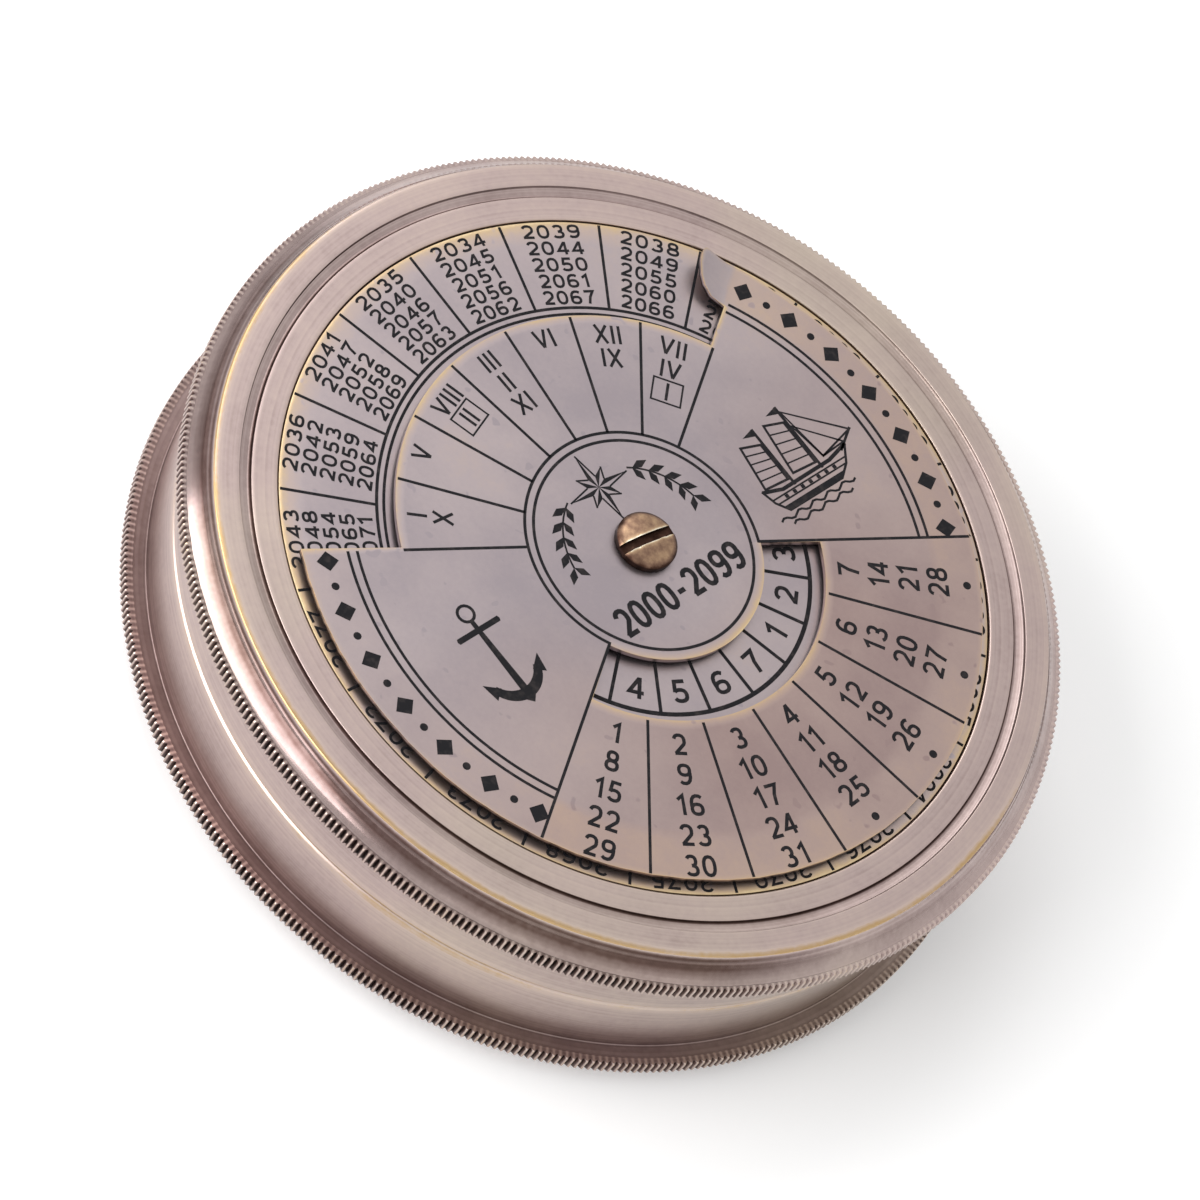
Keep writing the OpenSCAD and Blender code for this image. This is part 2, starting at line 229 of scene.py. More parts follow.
def cut_knurl(bm, low, high):
    """Adds a band of straight teeth with bevelled ends, worn bright on the tips and dark between them."""
    end_h = 0.1
    tuck = 0.06
    core_r = knurl_core_r - 0.2
    root_r = case_r - knurl_depth
    flank_r = case_r - knurl_depth * 0.3
    # Across one tooth: place as a share of the pitch, radius and finish.
    tooth_shape = ((-0.5, root_r, 0.0), (-0.22, flank_r, 0.2), (-0.1, case_r, 0.7), (0.1, case_r, 0.7),
                   (0.22, flank_r, 0.2))
    # Up the band: height, whether it lies in the core, and whether it is bevelled.
    levels = ((low + tuck, 1, 0), (low, 0, 1), (low + end_h, 0, 0), (high - end_h, 0, 0), (high, 0, 1),
              (high - tuck, 1, 0))
    columns = []
    for tooth in range(knurl_teeth):
        for share, r, finish in tooth_shape:
            angle = 2 * pi * (tooth + share) / knurl_teeth
            column = []
            for z, core, bevel in levels:
                here_r = core_r if core else r - bevel * (r - root_r) * 0.35
                shine = 0.34 + 0.45 * finish if core or bevel else finish
                column.append(point(bm, (here_r * cos(angle), here_r * sin(angle), z), shine))
            columns.append(column)
    skin(bm, columns)


def cut_thread(bm, wall_r, crest_r, low, high):
    """Adds a fine helical ridge on a round wall, which runs out to nothing at both ends."""
    steps_per_turn = 120
    run_out = steps_per_turn / 12
    steps = int((high - low) / thread_pitch * steps_per_turn)
    foot_r = wall_r + copysign(0.05, wall_r - crest_r)
    rings = []
    for i in range(steps + 1):
        angle = 2 * pi * i / steps_per_turn
        z = low + thread_pitch * i / steps_per_turn
        crest = foot_r + (crest_r - foot_r) * min(1.0, min(i, steps - i) / run_out)
        ring = []
        for r, step, finish in ((foot_r, -0.4, 0.35), (crest, 0.0, 0.8), (foot_r, 0.4, 0.35)):
            ring.append(point(bm, (r * cos(angle), r * sin(angle), z + step * thread_pitch), finish))
        rings.append(ring)
    skin(bm, rings, closed=False)


def limited(share):
    """A share kept between 0 and 1."""
    return min(1.0, max(0.0, share))


def cove(edge_z, upward):
    """The hollow cove from the sharp edge to the knurl: rippled by the tool, worn bright at the edge, and
    painted dark below it, partly patina and partly painted dark reflection.
    """
    steps = 48
    edge_steps = 4
    hollow = 0.24
    mark_depth = 0.016
    run = cove_end_r - edge_r
    slant = hypot(run, cove_h)
    profile = []
    for i in range(edge_steps, steps + 1):
        t = i / steps
        ripple = 0.6 * cos(2 * pi * 3.2 * t) + 0.4 * cos(2 * pi * 6.5 * t + 1)
        sink = hollow * 4 * t * (1 - t) + mark_depth * (1 - ripple) * (1 - t)
        near_knurl = limited((t - 0.58) / 0.27)
        near_edge = limited(1 - t / 0.15)
        # The inner part of the cove is painted dark and lightens toward the knurl: partly patina in the
        # hollow, partly a painted dark reflection.
        finish = 0.25 + 0.24 * near_knurl + 0.6 * near_edge + 0.09 * ripple * (1 - t)
        r = edge_r + run * t - sink * cove_h / slant
        z = cove_h * t + sink * run / slant
        profile.append((r, edge_z + upward * z, finish, 1.0))
    return profile


def piece(bm, name, material, body, slot, *nodes, bevel=0.0):
    """Makes a mesh drawn in millimetres into a piece that rides on a body and may stand for CAD nodes."""
    bmesh.ops.remove_doubles(bm, verts=bm.verts, dist=1e-5)
    bmesh.ops.recalc_face_normals(bm, faces=bm.faces)
    bmesh.ops.scale(bm, vec=Vector((mm, mm, mm)), verts=bm.verts)
    mesh = bpy.data.meshes.new(name)
    bm.to_mesh(mesh)
    bm.free()
    mesh.shade_smooth()
    mesh.set_sharp_from_angle(angle=radians(38))
    mesh.materials.append(material)
    made = bpy.data.objects.new(name, mesh)
    bpy.context.scene.collection.objects.link(made)
    if bevel:
        edge = made.modifiers.new("broken_edges", "BEVEL")
        edge.width = bevel * mm
        edge.segments = 2
        edge.limit_method = "ANGLE"
        edge.angle_limit = radians(50)
    made.modifiers.new("even_shading", "WEIGHTED_NORMAL").keep_sharp = True
    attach(made, body)
    if nodes:
        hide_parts(*nodes)


# Each corner of a turned outline is its radius, height, finish, and how far it is rounded back.
back = softened([(0, dish + 0.35, 0.2, 0), (0.65, dish, 0.4, 0.05), (0.9, dish, 0.72, 0),
                 (1.3, dish, 0.58, 0), (14, dish, 0.58, 0), (27, dish, 0.56, 0), (30.4, dish, 0.5, 0.6),
                 (31.4, dish * 0.56, 0.45, 0), (32.7, 0, 0.56, 0.6), (34.8, 0, 0.6, 0), (35.6, 0, 0.7, 0),
                 (edge_r, 0, 0.8, 0.14), (edge_r + 0.1, 0.3, 0.8, 0)])[:-1]
outside = softened([(cove_end_r, cove_h, 0.3, 0), (knurl_core_r, cove_h, 0.1, 0),
                    (knurl_core_r, knurl_end, 0.36, 0), (wall_r, knurl_end, 0.36, 0.12),
                    (wall_r, 4.2, 0.5, 0), (wall_r, 9.0, 0.58, 0), (wall_r, shoulder - 0.2, 0.72, 0.08),
                    (wall_r - 0.2, shoulder, 0.66, 0.08), (neck_r, shoulder, 0.3, 0.1),
                    (neck_r, neck_top - 0.3, 0.6, 0.06), (neck_r - 0.3, neck_top, 0.74, 0.06),
                    (bowl_r, neck_top, 0.74, 0.12), (bowl_r, wire_z + groove_half, 0.5, 0.03),
                    (groove_r, wire_z + groove_floor_half, 0.25, 0.1),
                    (groove_r, wire_z - groove_floor_half, 0.25, 0.1),
                    (bowl_r, wire_z - groove_half, 0.5, 0.03), (bowl_r, floor_z, 0.36, 0.1),
                    (rivet_hole_r, floor_z, 0.4, 0), (rivet_hole_r, rivet_hole_z, 0.3, 0),
                    (0, rivet_hole_z, 0.3, 0)])
bowl = bmesh.new()
turn(bowl, back + cove(0, 1) + outside)
cut_knurl(bowl, cove_h, knurl_end)
cut_thread(bowl, neck_r, neck_r + thread_h, shoulder + 0.55, neck_top - 0.6)
piece(bowl, "base_bowl_turned", antiqued_brass, "base", "antique_brass", "base_bowl")


# Compass card: a round of stiff cream card printed in black and red, with a wind rose in the
# middle and a scale of degrees round it. It lies on the bowl's floor under the card ring.

# Printed card is uncoated board: it shows a matt cream with faint fibres and soft age stains.
printed_card, tree, shader, place = blank_material("printed_card")
# Real fibres are finer, and these are as coarse as it takes to show.
fibre_size = 0.35 * mm
stain_size = 14 * mm
fibres = node(tree, "TexNoise", {"Vector": place, "Scale": 1 / fibre_size, "Detail": 3.0})
stains = node(tree, "TexNoise", {"Vector": place, "Scale": 1 / stain_size, "Detail": 4.0})
aged = node(tree, "Math", {0: stains, 1: 0.8, 2: fibres}, operation="MULTIPLY_ADD")
tint = node(tree, "ValToRGB", {0: aged}, ramp=[(0.5, "#D9CDB0"), (12 / 13, "#F1E9D6")])
relief = node(tree, "Bump", {"Height": fibres, "Strength": 0.2, "Distance": 0.02 * mm})
feed(tree, shader, {"Base Color": tint, "Normal": relief, "Roughness": 0.75})
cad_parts["compass_card"].data.materials[0] = printed_card


def ink(name, dark, worn):
    """Printing ink or engraver's filling: an even dark coat that has rubbed thin in small spots."""
    made, tree, shader, place = blank_material(name)
    spot_size = 0.6 * mm
    spots = node(tree, "TexNoise", {"Vector": place, "Scale": 1 / spot_size, "Detail": 3.0})
    tint = node(tree, "ValToRGB", {0: spots}, ramp=[(0.5, dark), (0.8, worn)])
    feed(tree, shader, {"Base Color": tint, "Roughness": 0.7, "Specular IOR Level": 0.15})
    return made


def polar(r, angle):
    """The place at a radius and at an angle from +X in degrees."""
    return Vector((r * cos(radians(angle)), r * sin(radians(angle))))


inlay_depth = 0.06
# Strokes that cross are this much higher one than the other, so that no two faces share a level.
stroke_step = 0.002


def inlay(bm, outline, level):
    """Adds a filled shape as a thin solid that is sunk in a face, with its top at a level."""
    skin(bm, [[bm.verts.new((x, y, z)) for x, y in outline] for z in (level, level - inlay_depth)],
         closed=False)


def ribbon(bm, points, width, level, closed=False):
    """Adds a line of even width along points as a thin solid, with its top at a level."""
    points = [Vector(p) for p in points]
    count = len(points)
    rails = []
    for i, here in enumerate(points):
        before = points[i - 1] if closed or i else here
        after = points[(i + 1) % count] if closed or i < count - 1 else here
        towards = [step.normalized() for step in (here - before, after - here) if step.length > 0]
        way = sum(towards, Vector((0, 0))).normalized()
        side = Vector((-way.y, way.x)) * (width / 2) / max(0.5, way.dot(towards[0]))
        rails.append([bm.verts.new((*(here + side * s), level - d)) for s, d in
                      ((1, 0), (1, inlay_depth), (-1, inlay_depth), (-1, 0))])
    skin(bm, rails, closed)


def arc_line(bm, r, start, end, width, level):
    """Adds an engraved arc, or a full circle, about the middle of the dial."""
    steps = max(4, round(abs(end - start) / 2))
    whole = abs(end - start) == 360
    places = [polar(r, start + (end - start) * i / steps) for i in range(steps if whole else steps + 1)]
    ribbon(bm, places, width, level, closed=whole)


def bow(x, y, across, tall, start, end):
    """Points of an oval stroke from one angle to another, a little squared like a drawing pen's."""
    steps = max(3, round(abs(end - start) / 22))
    points = []
    for i in range(steps + 1):
        way = polar(1, start + (end - start) * i / steps)
        wide, high = (copysign(abs(share) ** 0.85, share) for share in way)
        points.append((x + across * wide, y + tall * high))
    return points


# Each figure is its width and its strokes, as shares of its height.
nine = [bow(0.32, 0.7, 0.245, 0.235, 0, 360), bow(0.28, 0.5, 0.285, 0.435, -130, 10)]
figures = {"0": (0.64, [bow(0.32, 0.5, 0.25, 0.435, 0, 360)]),
           "1": (0.48, [[(0.08, 0.72), (0.33, 0.93), (0.33, 0)]]),
           "2": (0.64, [bow(0.32, 0.67, 0.235, 0.265, 165, -35) + [(0.09, 0.065)],
                        [(0.05, 0.065), (0.6, 0.065)]]),
           "3": (0.64, [bow(0.3, 0.715, 0.205, 0.22, 155, -90), bow(0.3, 0.28, 0.245, 0.215, 90, -155)]),
           "4": (0.64, [[(0.46, 0), (0.46, 0.97)], [(0.44, 0.93), (0.07, 0.28), (0.63, 0.28)]]),
           "5": (0.64, [[(0.56, 0.935), (0.17, 0.935), (0.11, 0.46)],
                        bow(0.3, 0.31, 0.25, 0.25, 140, -155)]),
           "6": (0.64, [[(0.64 - x, 1 - y) for x, y in stroke] for stroke in nine]),
           "7": (0.62, [[(0.05, 0.935), (0.57, 0.935), (0.36, 0.5), (0.25, 0)]]),
           "8": (0.64, [bow(0.32, 0.725, 0.205, 0.21, 0, 360), bow(0.32, 0.28, 0.25, 0.215, 0, 360)]),
           "9": (0.64, nine),
           "-": (0.46, [[(0.06, 0.42), (0.4, 0.42)]]),
           "I": (0.2, [[(0.1, 0), (0.1, 1)]]),
           "V": (0.7, [[(0.04, 1), (0.35, 0.05)], [(0.35, 0.05), (0.66, 1)]]),
           "X": (0.7, [[(0.05, 0), (0.65, 1)], [(0.05, 1), (0.65, 0)]])}
figure_gap = 0.15


def number(bm, word, centre, turned, cap, level, stretch=1.0, weight=0.14):
    """Adds a number of a given height in even strokes, centred on a place and turned in degrees."""
    facing = Matrix.Rotation(radians(turned), 2)
    pen = -(sum(figures[figure][0] + figure_gap for figure in word) - figure_gap) / 2
    for figure in word:
        width, strokes = figures[figure]
        for order, stroke in enumerate(strokes):
            points = [Vector(centre) + facing @ Vector(((pen + x) * stretch, y - 0.5)) * cap
                      for x, y in stroke]
            whole = (points[0] - points[-1]).length < 0.001
            ribbon(bm, points[:-1] if whole else points, weight * cap, level + stroke_step * order, whole)
        pen = pen + width + figure_gap


def wind_rose(bm, centre, up, reach, level, waist=0.24, outline=0.12):
    """Adds the black halves of an eight-point compass star, its long points a quarter turn apart."""
    hub = Vector(centre)
    for i in range(8):
        tip = hub + polar(reach * 0.62 if i % 2 else reach, up + i * 45)
        dark_side, bare_side = (hub + polar(reach * waist, up + (i + side) * 45) for side in (0.5, -0.5))
        inlay(bm, [hub, tip, dark_side], level)
        ribbon(bm, [tip, bare_side], outline, level + stroke_step)


printing_black = ink("printing_black", "#1B1A1E", "#353236")
printing_red = ink("printing_red", "#9A2A26", "#B2544A")
proud = 0.012
print_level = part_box("compass_card")[1].z / mm + proud
scale_r = 29.6
black_print = bmesh.new()
for r, width in ((scale_r + 0.7, 0.3), (scale_r - 2.2, 0.15), (20.6, 0.15), (20.0, 0.3)):
    arc_line(black_print, r, 0, 360, width, print_level)
for degree in range(0, 360, 5):
    length = 2.2 if degree % 30 == 0 else 1.5 if degree % 10 == 0 else 0.9
    ribbon(black_print, [polar(scale_r, degree), polar(scale_r - length, degree)], 0.22, print_level)
for bearing in range(30, 360, 30):
    number(black_print, str(bearing), polar(24.0, 90 - bearing), -bearing, 2.4, print_level)
wind_rose(black_print, (0, 0), 90, 18.6, print_level)
piece(black_print, "card_black_print", printing_black, "base", "card")
red_print = bmesh.new()
inlay(red_print, [polar(25.6, 90), polar(22.4, 93.4), polar(23.2, 90), polar(22.4, 86.6)], print_level)
arc_line(red_print, 19.2, 0, 360, 0.25, print_level)
piece(red_print, "card_red_print", printing_red, "base", "card")


# Pivot post: a small flanged brass turning, riveted through the card into the floor. The same
# yellow brass is used for the needle's cap, the card ring, the spacer and the nut.

# Turned yellow brass is bright and warm, with fine rings from the lathe and a few dull patches.
yellow_brass, tree, shader, place = blank_material("turned_yellow_brass")
dull_size = 3 * mm
dull = node(tree, "TexNoise", {"Vector": place, "Scale": 1 / dull_size, "Detail": 4.0})
turning = lathe_lines(tree, place)
tone = node(tree, "Mix", {0: 0.6, 2: dull, 3: turning})
tint = node(tree, "ValToRGB", {0: tone}, ramp=[(0.3, "#AC8B50"), (0.7, "#D6B878")])
rough = node(tree, "MapRange", {"Value": tone, "To Min": 0.38, "To Max": 0.22})
relief = node(tree, "Bump", {"Height": turning, "Strength": 0.3, "Distance": 0.012 * mm})
feed(tree, shader, {"Base Color": tint, "Roughness": rough, "Normal": relief, "Metallic": 1.0})
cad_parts["pivot_post"].data.materials[0] = yellow_brass


# Pivot pin: a hard steel pin ground to a fine point, pressed into the post. The spring wire of the
# glass ring and the washer under the nut are the same bright drawn steel.

# Drawn steel is a cool grey, with light and dark flecks from the drawing die.
drawn_steel, tree, shader, place = blank_material("drawn_steel")
fleck_size = 0.4 * mm
flecks = node(tree, "TexNoise", {"Vector": place, "Scale": 1 / fleck_size, "Detail": 4.0})
tint = node(tree, "ValToRGB", {0: flecks}, ramp=[(0.3, "#8F8F92"), (0.7, "#C2C2C4")])
rough = node(tree, "MapRange", {"Value": flecks, "To Min": 0.38, "To Max": 0.22})
feed(tree, shader, {"Base Color": tint, "Roughness": rough, "Metallic": 1.0})
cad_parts["pivot_pin"].data.materials[0] = drawn_steel


# Needle cap and jewel: a domed brass cap riveted in the needle's middle, with a red glass cup
# pressed into it from below. The cup runs on the pin's point.
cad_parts["needle_cap"].data.materials[0] = yellow_brass

# Red glass is deep and clear, with faint clouds where the melt was uneven.
red_glass, tree, shader, place = blank_material("red_glass")
cloud_size = 0.8 * mm
clouds = node(tree, "TexNoise", {"Vector": place, "Scale": 1 / cloud_size})
tint = node(tree, "ValToRGB", {0: clouds}, ramp=[(0.3, "#7E1420"), (0.7, "#B02A36")])
feed(tree, shader, {"Base Color": tint, "Transmission Weight": 0.8, "Roughness": 0.05, "IOR": 1.76})
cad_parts["needle_jewel"].data.materials[0] = red_glass


# Needle blade: a long lozenge of spring steel, ground bright and then heated so that the north
# half takes a deep blue. It is riveted under the cap's shoulder.

# Blued spring steel keeps the silky strokes of the grinding, on the silver half and the blue.
needle_steel, tree, shader, place = blank_material("blued_spring_steel")
heat_edge = 0.6 * mm
stroke_size = 0.25 * mm
lengthwise = node(tree, "VectorMath", {0: place, 1: (1, 0.04, 1)}, operation="MULTIPLY")
strokes = node(tree, "TexNoise", {"Vector": lengthwise, "Scale": 1 / stroke_size, "Detail": 2.0})
north = node(tree, "SeparateXYZ", {0: place}).outputs["Y"]
heat = node(tree, "MapRange", {"Value": north, "From Min": -heat_edge, "From Max": heat_edge})
bright = node(tree, "ValToRGB", {0: strokes}, ramp=[(0.3, "#A9A9AC"), (0.7, "#D2D2D2")])
blued = node(tree, "ValToRGB", {0: strokes}, ramp=[(0.3, "#1B2A55"), (0.7, "#33508C")])
tint = node(tree, "Mix", {0: heat, 6: bright, 7: blued}, data_type="RGBA")
rough = node(tree, "MapRange", {"Value": strokes, "To Min": 0.4, "To Max": 0.24})
feed(tree, shader, {"Base Color": tint.outputs[2], "Roughness": rough, "Metallic": 1.0})
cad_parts["needle_blade"].data.materials[0] = needle_steel


# Card ring: a bevelled brass ring that drops into the bowl, holds the card down and carries
# the glass. Its long inner slope is turned bright.
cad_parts["card_ring"].data.materials[0] = yellow_brass


# Glass: a round of flat window glass with a ground edge, which lies on the card ring.
# It is clear and glossy, and frosted with a slight green at its rim.
window_glass, tree, shader, place = blank_material("flat_window_glass")
glass_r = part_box("glass_crystal")[1].x
ground = node(tree, "MapRange", {"Value": off_axis(tree, place), "From Min": glass_r - 0.3 * mm,
                                 "From Max": glass_r - 0.15 * mm})
tint = node(tree, "ValToRGB", {0: ground}, ramp=[(0.0, "#FAFEFC"), (1.0, "#CFE6DD")])
rough = node(tree, "MapRange", {"Value": ground, "To Min": 0.0, "To Max": 0.35})
feed(tree, shader, {"Base Color": tint, "Roughness": rough, "Transmission Weight": 1.0, "IOR": 1.5})
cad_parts["glass_crystal"].data.materials[0] = window_glass


# Glass ring: a split ring of spring wire, sprung into the groove inside the neck to keep
# the glass down.
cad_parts["glass_ring"].data.materials[0] = drawn_steel


# Lid shell: the upper half of the case, turned and toned like the base. A stepped rim with a
# shallow channel frames the well for the calendar, and the skirt below screws down over the neck.
lid_low, lid_high = (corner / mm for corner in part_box("lid_shell"))
skirt_z = lid_low.z
lid_top = lid_high.z
plate_low, plate_high = (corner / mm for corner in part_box("year_plate"))
well_r = plate_high.x + 0.12
well_z = plate_low.z
ceiling = well_z - 1.3
rim_z = lid_top - 0.12
channel_in = 32.82
channel_out = 33.88
channel_z = rim_z - 0.3
bore_r = 35.1
shank_hole_r = 1.52
lid_knurl_low = lid_top - knurl_end
rim = softened([(shank_hole_r, ceiling, 0.4, 0), (shank_hole_r, well_z, 0.4, 0), (well_r, well_z, 0.2, 0.05),
                (well_r, rim_z, 0.68, 0.13), (well_r + 0.3, rim_z, 0.57, 0),
                (channel_in - 0.25, rim_z, 0.57, 0), (channel_in, rim_z, 0.6, 0.04),
                (channel_in + 0.04, rim_z - 0.08, 0.12, 0), (channel_in + 0.1, channel_z + 0.04, 0.1, 0.04),
                (channel_in + 0.32, channel_z, 0.46, 0.08), (channel_out - 0.14, lid_top - 0.3, 0.54, 0.05),
                (channel_out - 0.09, lid_top - 0.26, 0.14, 0), (channel_out - 0.03, lid_top - 0.06, 0.2, 0),
                (channel_out, lid_top, 0.58, 0.04), (channel_out + 0.3, lid_top, 0.55, 0),
                (edge_r - 0.7, lid_top, 0.57, 0), (edge_r - 0.35, lid_top, 0.72, 0),
                (edge_r, lid_top, 0.8, 0.14), (edge_r + 0.1, lid_top - 0.3, 0.8, 0)])[:-1]
skirt = softened([(cove_end_r, lid_top - cove_h, 0.3, 0), (knurl_core_r, lid_top - cove_h, 0.1, 0),
                  (knurl_core_r, lid_knurl_low, 0.36, 0), (wall_r, lid_knurl_low, 0.36, 0.12),
                  (wall_r, lid_knurl_low - 0.7, 0.5, 0), (wall_r, skirt_z + 1.0, 0.58, 0),
                  (wall_r, skirt_z + 0.2, 0.72, 0.08), (wall_r - 0.2, skirt_z, 0.6, 0.08),
                  (bore_r, skirt_z, 0.5, 0.12), (bore_r, ceiling, 0.36, 0.15)])
lid = bmesh.new()
turn(lid, rim + cove(lid_top, -1) + skirt)
cut_knurl(lid, lid_knurl_low, lid_top - cove_h)
cut_thread(lid, bore_r, bore_r - 0.1, skirt_z + 0.5, neck_top - 0.4)

# On the far side of the rim the finish is painted: its hollows paler and its edges less yellow, a painted
# reflection of bright surroundings there.
far_side_painted_tone = 0.6
far_side_painted_share = 0.7
far_side_painted_fade = 0.3
hollows_painted_paler = (66, -0.38)
edges_painted_duller = (86, 0.0)
layer = lid.verts.layers.float["finish"]
for vert in lid.verts:
    if vert.co.xy.length > channel_out - 0.1 and vert.co.z > lid_knurl_low - 0.01:
        change = far_side_painted_tone - vert[layer]
        painted_side, reach = hollows_painted_paler if change > 0 else edges_painted_duller
        toward = cos(atan2(vert.co.y, vert.co.x) - radians(painted_side))
        vert[layer] += far_side_painted_share * change * limited((toward - reach) / far_side_painted_fade)
piece(lid, "lid_shell_turned", antiqued_brass, "lid", "antique_brass", "lid_shell")


# Year plate: a stamped brass disc, toned like the case and fixed in the lid's well. Lines and
# figures are engraved and filled black: years in 21 columns outside, days of the week inside.

# Toned dial brass is a satin grey in cool and warm clouds, with small pits and pale yellow edges
# where it is worn. A finish below 0 is painted dark brown: painted shade on the disc's lower outer edge.
dial_brass, tree, shader, place = blank_material("toned_dial_brass")
bloom_size = 16 * mm
pit_size = 1.3 * mm
# The specks of the rolled sheet are really finer, and are drawn as coarse as it takes to show.
speck_size = 0.45 * mm
worn = node(tree, "Attribute", attribute_name="finish").outputs["Fac"]
handled = node(tree, "Attribute", attribute_name="handled").outputs["Fac"]
bloom = node(tree, "TexNoise", {"Vector": place, "Scale": 1 / bloom_size, "Detail": 4.0, "Roughness": 0.6})
specks = node(tree, "TexNoise", {"Vector": place, "Scale": 1 / speck_size, "Detail": 3.0})
spots = node(tree, "TexNoise", {"Vector": place, "Scale": 1 / pit_size, "Detail": 1.0})
tone = node(tree, "MapRange", {"Value": spots, "From Min": 0.72, "From Max": 0.78, "To Max": -0.3})
for pattern, gain, offset in ((bloom, 0.9, -0.2), (specks, 0.16, -0.08), (worn, 0.55, 0.0)):
    change = node(tree, "Math", {0: pattern, 1: gain, 2: offset}, operation="MULTIPLY_ADD")
    tone = node(tree, "Math", {0: tone, 1: change}, operation="ADD")
cool = [(0.1, "#958B8F"), (1.0, "#E3D0A4"), (0.35, "#A49899"), (0.55, "#AE9D96"), (0.75, "#BEA686")]
warm = [(0.1, "#937F7C"), (1.0, "#E3D0A4"), (0.35, "#A28E88"), (0.55, "#AE9789"), (0.75, "#BEA383")]
tint = node(tree, "Mix", {0: handled, 6: node(tree, "ValToRGB", {0: tone}, ramp=cool),
                          7: node(tree, "ValToRGB", {0: tone}, ramp=warm)}, data_type="RGBA")
# A finish below 0 is painted shade, and darkens the colour toward a dark brown.
painted_shade_share = node(tree, "Math", {0: worn, 1: -1.0}, operation="MULTIPLY", use_clamp=True)
tint = node(tree, "Mix", {0: painted_shade_share, 6: tint.outputs[2], 7: linear("#1E1714")}, data_type="RGBA")
rough = node(tree, "MapRange", {"Value": specks, "To Min": 0.43, "To Max": 0.31})
relief = node(tree, "Bump", {"Height": specks, "Strength": 0.12, "Distance": 0.02 * mm})
feed(tree, shader, {"Base Color": tint.outputs[2], "Roughness": rough, "Normal": relief, "Metallic": 1.0})

plate_r = plate_high.x
plate_top = plate_high.z
plate = bmesh.new()
turn(plate, softened([(shank_hole_r, plate_low.z, 0.2, 0), (plate_r, plate_low.z, 0.2, 0),
                      (plate_r, plate_top, 0.9, 0.06), (plate_r - 0.35, plate_top, 0.64, 0),
                      (plate_r - 1.0, plate_top, 0.4, 0), (plate_r - 2.2, plate_top, 0.02, 0),
                      (15.9, plate_top, 0.1, 0), (14.9, plate_top, 0.1, 0), (10.0, plate_top, 0.1, 0),
                      (shank_hole_r, plate_top, 0.0, 0)]))
piece(plate, "year_plate_stamped", dial_brass, "lid", "dial_brass", "year_plate")

filling_black = ink("engraving_black", "#161518", "#332E2E")
columns = 21
cell = 360 / columns
line_w = 0.25
year_tick = -8.03
year_band_r = 22.4
day_band_r = 14.8
day_band_in = 9.9
plate_level = plate_top + proud
plate_lines = bmesh.new()
for r, width in ((year_band_r, 0.27), (year_band_r - 0.6, 0.25), (day_band_r, 0.38)):
    arc_line(plate_lines, r, 0, 360, width, plate_level)
for column in range(columns):
    tick = year_tick + column * cell
    ribbon(plate_lines, [polar(year_band_r, tick), polar(plate_r - 0.1, tick)], line_w,
           plate_level + stroke_step)
    tick = tick + cell / 2
    ribbon(plate_lines, [polar(day_band_in, tick), polar(day_band_r, tick)], line_w + 0.05,
           plate_level + stroke_step)
piece(plate_lines, "year_plate_lines", filling_black, "lid", "dial_brass")

# Years that share their days from March on stand in the same column, or 7 or 14 columns further.
first_year = 2000
last_year = 2099
year_cap = 1.24
year_rows = 5
year_row_r = 29.6
year_row_pitch = 1.56
years_by_start = {start: [] for start in range(7)}
for year in range(first_year, last_year + 1):
    years_by_start[(datetime.date(year, 3, 1).weekday() - 3) % 7].append(year)
year_figures = bmesh.new()
for column in range(columns):
    middle = year_tick + (column + 0.5) * cell
    row_years = years_by_start[(column + 4) % 7][column // 7 * year_rows:][:year_rows]
    for row, year in enumerate(row_years):
        number(year_figures, str(year), polar(year_row_r - row * year_row_pitch, middle), middle - 90,
               year_cap, plate_level, stretch=1.42 - 0.04 * row, weight=0.19)
piece(year_figures, "year_plate_years", filling_black, "lid", "dial_brass")

day_cap = 2.0
day_r = 12.75
day_figures = bmesh.new()
for column in range(columns):
    middle = year_tick + (column + 1) * cell
    number(day_figures, str(column % 7 + 1), polar(day_r, middle), middle + 90, day_cap, plate_level,
           stretch=1.1, weight=0.17)
piece(day_figures, "year_plate_days", filling_black, "lid", "dial_brass")


# Spacer: a thin washer stamped from brass sheet. It lies on the screw's shank and holds the
# month disc clear of the engraving.
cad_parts["disc_spacer"].data.materials[0] = yellow_brass


# Month disc: a turning disc stamped from toned brass sheet, cut away over the years and over the
# days, with one corner curled up for a fingertip. Its engraving is filled black like the plate's.
disc_low, disc_high = (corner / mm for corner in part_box("month_disc"))
disc_r = disc_high.y
months_r = -disc_low.x
disc_z = disc_low.z
disc_t = 0.45
disc_top = disc_z + disc_t
disc_turn = 286
sector = 120
hub_r = 10.4
window_r = 15.8
border_r = 25.4
tab_edge = 180
tab_len = 3.4
tab_curl = 6
tab_start = disc_r - 4.3
tab_corner = tab_start + tab_len
wear_w = 0.8
rim_wear_w = 0.45

# The disc is laid out before it is turned: its dates start at 0 degrees, and its tab at 180.
radii = [1.55, 2.6, 4.5, 7, 9.5, hub_r - wear_w, hub_r, hub_r + wear_w, 12, 14, window_r - wear_w, window_r,
         window_r + wear_w, 18.5, months_r - wear_w, months_r, months_r + wear_w, 23.5, tab_start,
         tab_start + 0.3, tab_start + 0.9, 27, 28, tab_corner, disc_r - wear_w, disc_r - rim_wear_w,
         disc_r - 0.2, disc_r - 0.06, disc_r]
cuts = (0, sector, tab_edge, tab_edge + sector)
angles = sorted({2.5 * a for a in range(144)} | {(cut + side) % 360 for cut in cuts for side in (-1.2, 1.2)})
disc = bmesh.new()
layer = disc.verts.layers.float.new("finish")
handled_layer = disc.verts.layers.float.new("handled")
corners = {}


